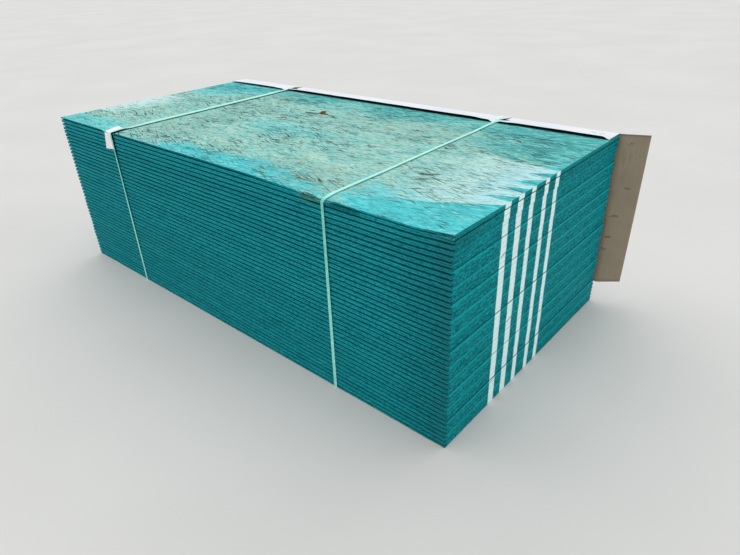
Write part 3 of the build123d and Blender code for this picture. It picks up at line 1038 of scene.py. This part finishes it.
# The splinters on the lip are placed from where the right strap crosses it
SPLIT_SPLINTERS = (
    ((-96, 3, 1.0), (56, 5, 1.6), 0.04, (0.6, 0.06)),
    ((-80, 5, 2.6), (60, 6, 1.4), -0.05, (0.4, -0.04)),
    ((-62, 3, -1.0), (66, 5, 1.8), 0.03, (0.7, 0.05)),
    ((-44, 5, 1.6), (52, 6, 1.4), 0.06, (0.5, 0.08)),
    ((-28, 4, -2.2), (40, 4, 1.6), -0.05, (0.6, -0.12)),
    ((-50, 2, -4.0), (44, 4, 1.6), 0.05, (0.7, 0.04)),
    ((-24, 6, 0.6), (30, 5, 1.4), -0.1, (0.4, 0.1)),
)
SPLINTERS_DOWN = 4.5 * MM


def lay_torn_wood(bm, chance, low, high):
    """The torn chip near the middle of the rear half, and splinters on the split front lip."""
    shapes = strand_shapes(chance)
    room = 1 * MM
    limits = (low + Vector((room, 0.5 * MM, 0)), high - Vector((room, room, 0)))
    corner = Vector((low.x, low.y, high.z))
    lip = Vector((strap_at(STRAP_RIGHT, FRONT, TOP), low.y, high.z - SPLINTERS_DOWN))
    for origin, parts in ((corner, CHIP), (lip, SPLIT_SPLINTERS)):
        for place, size, turn, tilt in parts:
            size = Vector(size) * MM
            place = origin + Vector(place) * MM
            lay_strand(bm, chance.choice(shapes), (*size,), turn, tilt, place, limits)
    for shape in shapes:
        bpy.data.meshes.remove(shape)


def top_panel(finishes):
    """The top panel: a skin of strands, a crushed front edge, a chip torn out of its face."""
    low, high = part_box("panel_41")
    lift = Vector((0, 0, PITCH))
    low, high = low + lift, high + lift
    bm = merged_copy("panel_41")
    bmesh.ops.translate(bm, verts=bm.verts, vec=lift)
    cut_long_edges(bm, TOP_CUTS_ALONG)
    rows = []
    for edge in bm.edges:
        if edge.calc_length() > 1 and all(vert.co.z > high.z - WELD for vert in edge.verts):
            rows.append(edge)
    bmesh.ops.subdivide_edges(bm, edges=rows, cuts=TOP_CUTS_ACROSS, use_grid_fill=True)
    nose = []
    for edge in bm.edges:
        first, second = (vert.co for vert in edge.verts)
        level = abs(first.x - second.x) < WELD
        lowest = min(first.z, second.z)
        rearmost = max(first.y, second.y)
        on_lip = lowest > high.z - 6 * MM and rearmost < low.y + WELD
        on_top = lowest > high.z - WELD and rearmost < low.y + 13 * MM
        if level and edge.calc_length() > 3 * MM and (on_lip or on_top):
            nose.append(edge)
    bmesh.ops.subdivide_edges(bm, edges=nose, cuts=NOSE_CUTS, use_grid_fill=True)
    fray_edges(bm, low, high, TOP_WEAR_SEED)
    for vert in bm.verts:
        x, y, z = vert.co
        if z > high.z - 0.2 * MM and y > low.y + 2 * MM:
            uneven = noise.noise(Vector((x * 12, y * 45, 1.7))) * 0.25 * MM
            at_rim = min(x - low.x, high.x - x, y - low.y, high.y - 10 * MM - y)
            vert.co.z -= (SKIN_SINK + uneven) * smooth(at_rim, 0.0, 12 * MM)
        crush_front(vert, low.y, high.z)
        vert.co.z += corner_curl(x, y)
    bm.normal_update()
    give_finishes(bm, True)
    tones = [(0, len(bm.faces), PLAIN_TONE)]
    tones += lay_strands(bm, random.Random(STRAND_SEED), low, high)
    torn = len(bm.faces)
    lay_torn_wood(bm, random.Random(TORN_SEED), low, high)
    layer = bm.faces.layers.float.new("strand_tone")
    bm.faces.ensure_lookup_table()
    for first, last, tone in tones:
        for index in range(first, last):
            bm.faces[index][layer] = tone
    for index in range(torn, len(bm.faces)):
        bm.faces[index].material_index = TORN
    for vert in bm.verts:
        settle(vert, TOP_PANEL_REACH)
    return finished(bm, "osb_panel_42", finishes, "panel_42")


# The cover sheet

MAIN_COLUMNS = 250
FREE_COLUMNS = 14
HANG_ROWS = 30
FOLD_ROWS = 8
FLAP_ROWS = 12
SKIN_RADIUS = FOLD_RADIUS + SHEET / 2
SHEET_REAR = REAR + BOOK_SHIFT + SHEET_SEAT
SHEET_TOP = TOP + SHEET_SEAT
MID_REAR = SHEET_REAR + SHEET / 2
MID_TOP = SHEET_TOP + SHEET / 2
HANG = SHEET_TOP - FOLD_RADIUS - SHEET_FOOT
FOLD_ARC = SKIN_RADIUS * math.pi / 2

# Lifts of the flap's front edge left of, between and right of the straps, and how a guard holds it down
LIFT_LEFT = 8.5 * MM
LIFT_LEFT_LOSS = 2.5 * MM
LIFT_MIDDLE = 11.6 * MM
LIFT_RIGHT = 10.5 * MM
HELD = 49 * MM
FLAP_RISE = 60 * MM
BILLOW = 3.0 * MM


def strap_hold(x):
    """One where a guard holds the sheet down, and nought well clear of both."""
    places = (strap_at(STRAP_LEFT, REAR, TOP), strap_at(STRAP_RIGHT, REAR, TOP))
    return max(1 - smooth(abs(x - place), HELD, HELD + FLAP_RISE) for place in places)


def flap_lift(x):
    """How far the flap's front edge stands off the top panel."""
    left = strap_at(STRAP_LEFT, REAR, TOP)
    right = strap_at(STRAP_RIGHT, REAR, TOP)
    if x < left:
        most = LIFT_LEFT - LIFT_LEFT_LOSS * smooth(x, (LEFT + left) / 2, LEFT)
    elif x < right:
        most = LIFT_MIDDLE
    else:
        most = LIFT_RIGHT * (1 - smooth(x, RIGHT - 40 * MM, RIGHT) ** 2)
    ripple = 0.8 * MM * noise.noise(Vector((x * 9, 4.4, 2.2)))
    return max(0.0, most + ripple)


def sheet_place(column, row):
    """Where a crossing of the sheet's mesh lies: foot to fold, over the fold, then out along the flap."""
    free = max(0.0, (column - MAIN_COLUMNS) / FREE_COLUMNS) * FREE_LENGTH
    x = LEFT + LENGTH * min(column / MAIN_COLUMNS, 1.0)
    slack = 1 - strap_hold(x)
    folded = (row - HANG_ROWS) / FOLD_ROWS
    if row <= HANG_ROWS:
        height = SHEET_FOOT + HANG * row / HANG_ROWS
        wave = noise.noise(Vector((x * 5, height * 4, 7.7))) + 0.5
        billow = BILLOW * max(0.0, wave) * slack * smooth(SHEET_TOP - height, 0.0, 0.12)
        place = Vector((x, MID_REAR + billow, height))
    elif row <= HANG_ROWS + FOLD_ROWS:
        turn = math.pi / 2 * folded
        back = SKIN_RADIUS * (1 - math.cos(turn))
        down = SKIN_RADIUS * (1 - math.sin(turn))
        place = Vector((x, MID_REAR - back, MID_TOP - down))
    else:
        share = (row - HANG_ROWS - FOLD_ROWS) / FLAP_ROWS
        out = (FLAP_WIDTH - FOLD_RADIUS) * share
        off = min(abs(x - strap_at(strap, REAR - 0.1, TOP)) for strap in (STRAP_LEFT, STRAP_RIGHT))
        free_rise = 1.25 * share - 0.25 * share**3
        held_rise = 0.75 * smooth(share, 0.68, 1.0) * smooth(off, 11 * MM, 30 * MM)
        stand = flap_lift(x) * (free_rise * slack + held_rise * (1 - slack))
        place = Vector((x, MID_REAR - SKIN_RADIUS - out, MID_TOP + stand))
    if free:
        height = place.z if row <= HANG_ROWS else SHEET_FOOT + HANG + FOLD_ARC * folded
        rise = (height - SHEET_FOOT) / (SHEET_TOP - SHEET_FOOT)
        turn = FREE_TURN_FOOT + (FREE_TURN_TOP - FREE_TURN_FOOT) * rise
        radius = FREE_CREASE / turn
        angle = min(free, FREE_CREASE) / radius
        flat = max(0.0, free - FREE_CREASE)
        place.x = RIGHT + radius * math.sin(angle) + flat * math.cos(turn)
        place.y = MID_REAR + radius * (1 - math.cos(angle)) + flat * math.sin(turn)
        place.z = height
    return place


def cover_sheet(finishes):
    """The paper cover: folded over the rear top edge, hanging down the rear, its free end turned out."""
    columns = MAIN_COLUMNS + FREE_COLUMNS
    rows = HANG_ROWS + FOLD_ROWS + FLAP_ROWS
    bm = bmesh.new()
    bmesh.ops.create_grid(bm, x_segments=columns, y_segments=rows, size=0.5)
    spare = []
    for face in bm.faces:
        middle = face.calc_center_median()
        past_end = (middle.x + 0.5) * columns > MAIN_COLUMNS
        past_fold = (middle.y + 0.5) * rows > HANG_ROWS + FOLD_ROWS / 2
        if past_end and past_fold:
            spare.append(face)
    bmesh.ops.delete(bm, geom=spare, context="FACES")
    for vert in bm.verts:
        vert.co = sheet_place(round((vert.co.x + 0.5) * columns), round((vert.co.y + 0.5) * rows))
    bmesh.ops.reverse_faces(bm, faces=bm.faces)
    for face in bm.faces:
        face.smooth = True
    piece = finished(bm, "paper_cover", finishes, "cover_sheet")
    wall = piece.modifiers.new("paper", "SOLIDIFY")
    wall.thickness = SHEET
    wall.offset = 0.0
    wall.material_offset = 1
    wall.material_offset_rim = 1
    folded = HANG + FOLD_ARC + FLAP_WIDTH - FOLD_RADIUS
    area = LENGTH * folded + FREE_LENGTH * (SHEET_TOP - SHEET_FOOT)
    return piece


# Guards and straps

# The front guard is narrowed on both sides, cut short at its foot, and raised on its right
FRONT_GUARD_LEFT_SHARE = 0.68
FRONT_GUARD_RIGHT_SHARE = 0.4
FRONT_GUARD_SHORT = 7 * MM
FRONT_GUARD_RAISED = 3 * MM
REAR_GUARD_RIGHT_SHARE = 0.4


def soften(bm, angle, offset):
    """Bevels the edges that turn by more than an angle."""
    sharp = [edge for edge in bm.edges if edge.calc_face_angle(0) > math.radians(angle)]
    bmesh.ops.bevel(bm, geom=sharp, offset=offset, segments=2, affect="EDGES", profile=0.5, material=-1)


def guard_piece(name, finishes, seed):
    """An edge guard with softened edges and a few dents, shorter where the front one has been cut."""
    bm = merged_copy(name)
    for vert in bm.verts:
        strap = STRAP_RIGHT if name == "guard_rear_right" else STRAP_LEFT
        middle = strap_at(strap, vert.co.y, vert.co.z)
        off = vert.co.x - middle
        if name == "guard_front_left":
            vert.co.x = middle + off * (FRONT_GUARD_LEFT_SHARE if off < 0 else FRONT_GUARD_RIGHT_SHARE)
            if vert.co.z < TOP - 60 * MM:
                vert.co.z += FRONT_GUARD_SHORT
            elif off > 0:
                vert.co.z += FRONT_GUARD_RAISED
            settle(vert, FITTING_REACH)
        elif off > 0:
            vert.co.x = middle + off * REAR_GUARD_RIGHT_SHARE
    soften(bm, 50, 0.5 * MM)
    for vert in bm.verts:
        dent = noise.noise_vector(vert.co * 45 + Vector((seed, 0, 0)))
        vert.co += dent * 0.12 * MM
    return finished(bm, f"edge_{name}", finishes, name)


STRAP_CUTS = 44
STRAP_NARROWED = 0.97

# How high the strap's top run hovers, and how much more at the side that is turned up
HOVER = 0.3 * MM
LEFT_STRAP_TURNED = 4.5 * MM
RIGHT_STRAP_TURNED = 0.8 * MM


def strap_piece(name, finishes):
    """A strap with its corners softened, following the give of the stack at its front."""
    bm = merged_copy(name)
    soften(bm, 60, 0.22 * MM)
    over = [edge for edge in bm.edges if edge.calc_length() > 0.9 and edge.verts[0].co.z > TOP - 5 * MM]
    bmesh.ops.subdivide_edges(bm, edges=over, cuts=STRAP_CUTS, use_grid_fill=True)
    middle = STRAP_LEFT if name == "strap_left" else STRAP_RIGHT
    for vert in bm.verts:
        x, y, z = vert.co
        centre = strap_at(middle, y, z)
        side = smooth(x - centre, -STRAP_WIDTH / 2, STRAP_WIDTH / 2)
        vert.co.x = centre + (x - centre) * STRAP_NARROWED
        settle(vert, FITTING_REACH)
        if z > TOP - 12 * MM:
            vert.co.x += strap_drift(middle, y)
        if z > TOP - 2 * MM:
            away = smooth(y, FRONT + 70 * MM, FRONT + 200 * MM)
            away *= smooth(y, REAR - FLAP_WIDTH, REAR - FLAP_WIDTH - 80 * MM)
            if middle == STRAP_RIGHT:
                vert.co.z += away * (HOVER + RIGHT_STRAP_TURNED * side)
            else:
                vert.co.z += away * (HOVER + LEFT_STRAP_TURNED * (1 - side))
                vert.co.z += 3 * MM * smooth(y, FRONT + 110 * MM, FRONT + 40 * MM)
        if y < FRONT and z > BASE + 10 * MM:
            vert.co.y -= 3.0 * side * MM
    return finished(bm, f"pet_{name}", finishes, name)


# Stage


def pale_floor():
    """A wide pale floor."""
    finish = Finish("pale_floor")
    cloud = finish.place.cloud(3, 0.5, 0.8)
    finish.prime(cloud.rise(0.3, 0.7), (216, 216, 214), (221, 221, 219))
    bm = bmesh.new()
    bmesh.ops.create_circle(bm, cap_ends=True, segments=96, radius=120)
    mesh = bpy.data.meshes.new("floor")
    bm.to_mesh(mesh)
    bm.free()
    mesh.materials.append(finish.surface(0.85))
    floor = bpy.data.objects.new("floor", mesh)
    bpy.context.scene.collection.objects.link(floor)


AMBIENT = 0.87
BACKDROP = 0.8
KEY_STRENGTH = 0.58
KEY_SPREAD = math.radians(75)
KEY_TILT = math.radians(24)
KEY_HEADING = math.radians(50)


def soft_light():
    """Even light from all round, and one broad soft lamp from above and behind on the left."""
    world = bpy.data.worlds.new("studio")
    bpy.context.scene.world = world
    studio = Nodes(world)
    kinds = ("Camera", "Glossy", "Transmission")
    rays = [studio.add("ShaderNodeLightPath", output=f"Is {kind} Ray") for kind in kinds]
    light = studio.add("ShaderNodeBackground", {}, {"Color": (1.0, 1.0, 1.0, 1.0), "Strength": AMBIENT})
    seen = studio.add("ShaderNodeBackground", {}, {"Color": (1.0, 1.0, 0.99, 1.0), "Strength": BACKDROP})
    both = studio.add("ShaderNodeMixShader", {}, {0: largest(rays), 1: light, 2: seen})
    studio.add("ShaderNodeOutputWorld", {}, {"Surface": both})
    lamp = bpy.data.lights.new("key", "SUN")
    lamp.energy = KEY_STRENGTH
    lamp.angle = KEY_SPREAD
    key = bpy.data.objects.new("key", lamp)
    bpy.context.scene.collection.objects.link(key)
    key.matrix_world = Matrix.Rotation(KEY_HEADING, 4, "Z") @ Matrix.Rotation(-KEY_TILT, 4, "X")


EYE = Vector((1.91952, -1.80706, 1.44505))
EYE_HEADING = math.radians(42.175)
EYE_DOWN = math.radians(29.285)
EYE_ROLL = math.radians(-2.379)
LENS = 27.46


def set_camera():
    """The camera where the photograph was taken from."""
    data = bpy.data.cameras.new("camera")
    data.sensor_width = 36
    data.lens = LENS
    data.clip_end = 400
    camera = bpy.data.objects.new("camera", data)
    bpy.context.scene.collection.objects.link(camera)
    turn = Matrix.Rotation(EYE_HEADING, 4, "Z") @ Matrix.Rotation(math.pi / 2 - EYE_DOWN, 4, "X")
    camera.matrix_world = Matrix.Translation(EYE) @ turn @ Matrix.Rotation(EYE_ROLL, 4, "Z")
    bpy.context.scene.camera = camera


bpy.context.scene.view_settings.view_transform = "Standard"
set_camera()
soft_light()
pale_floor()

panel_finishes = (top_paint(), edge_paint(), end_paint(), bare_strands(), torn_wood())
for number in range(1, PANEL_COUNT):
    panel_piece(number, panel_finishes)
top_panel(panel_finishes)
cover_sheet((white_paper(), brown_paper()))
board = guard_board()
for seed, name in enumerate(("guard_front_left", "guard_rear_left", "guard_rear_right")):
    guard_piece(name, (board,), seed * 7.3)
plastic = strap_plastic()
for name in ("strap_left", "strap_right"):
    strap_piece(name, (plastic,))
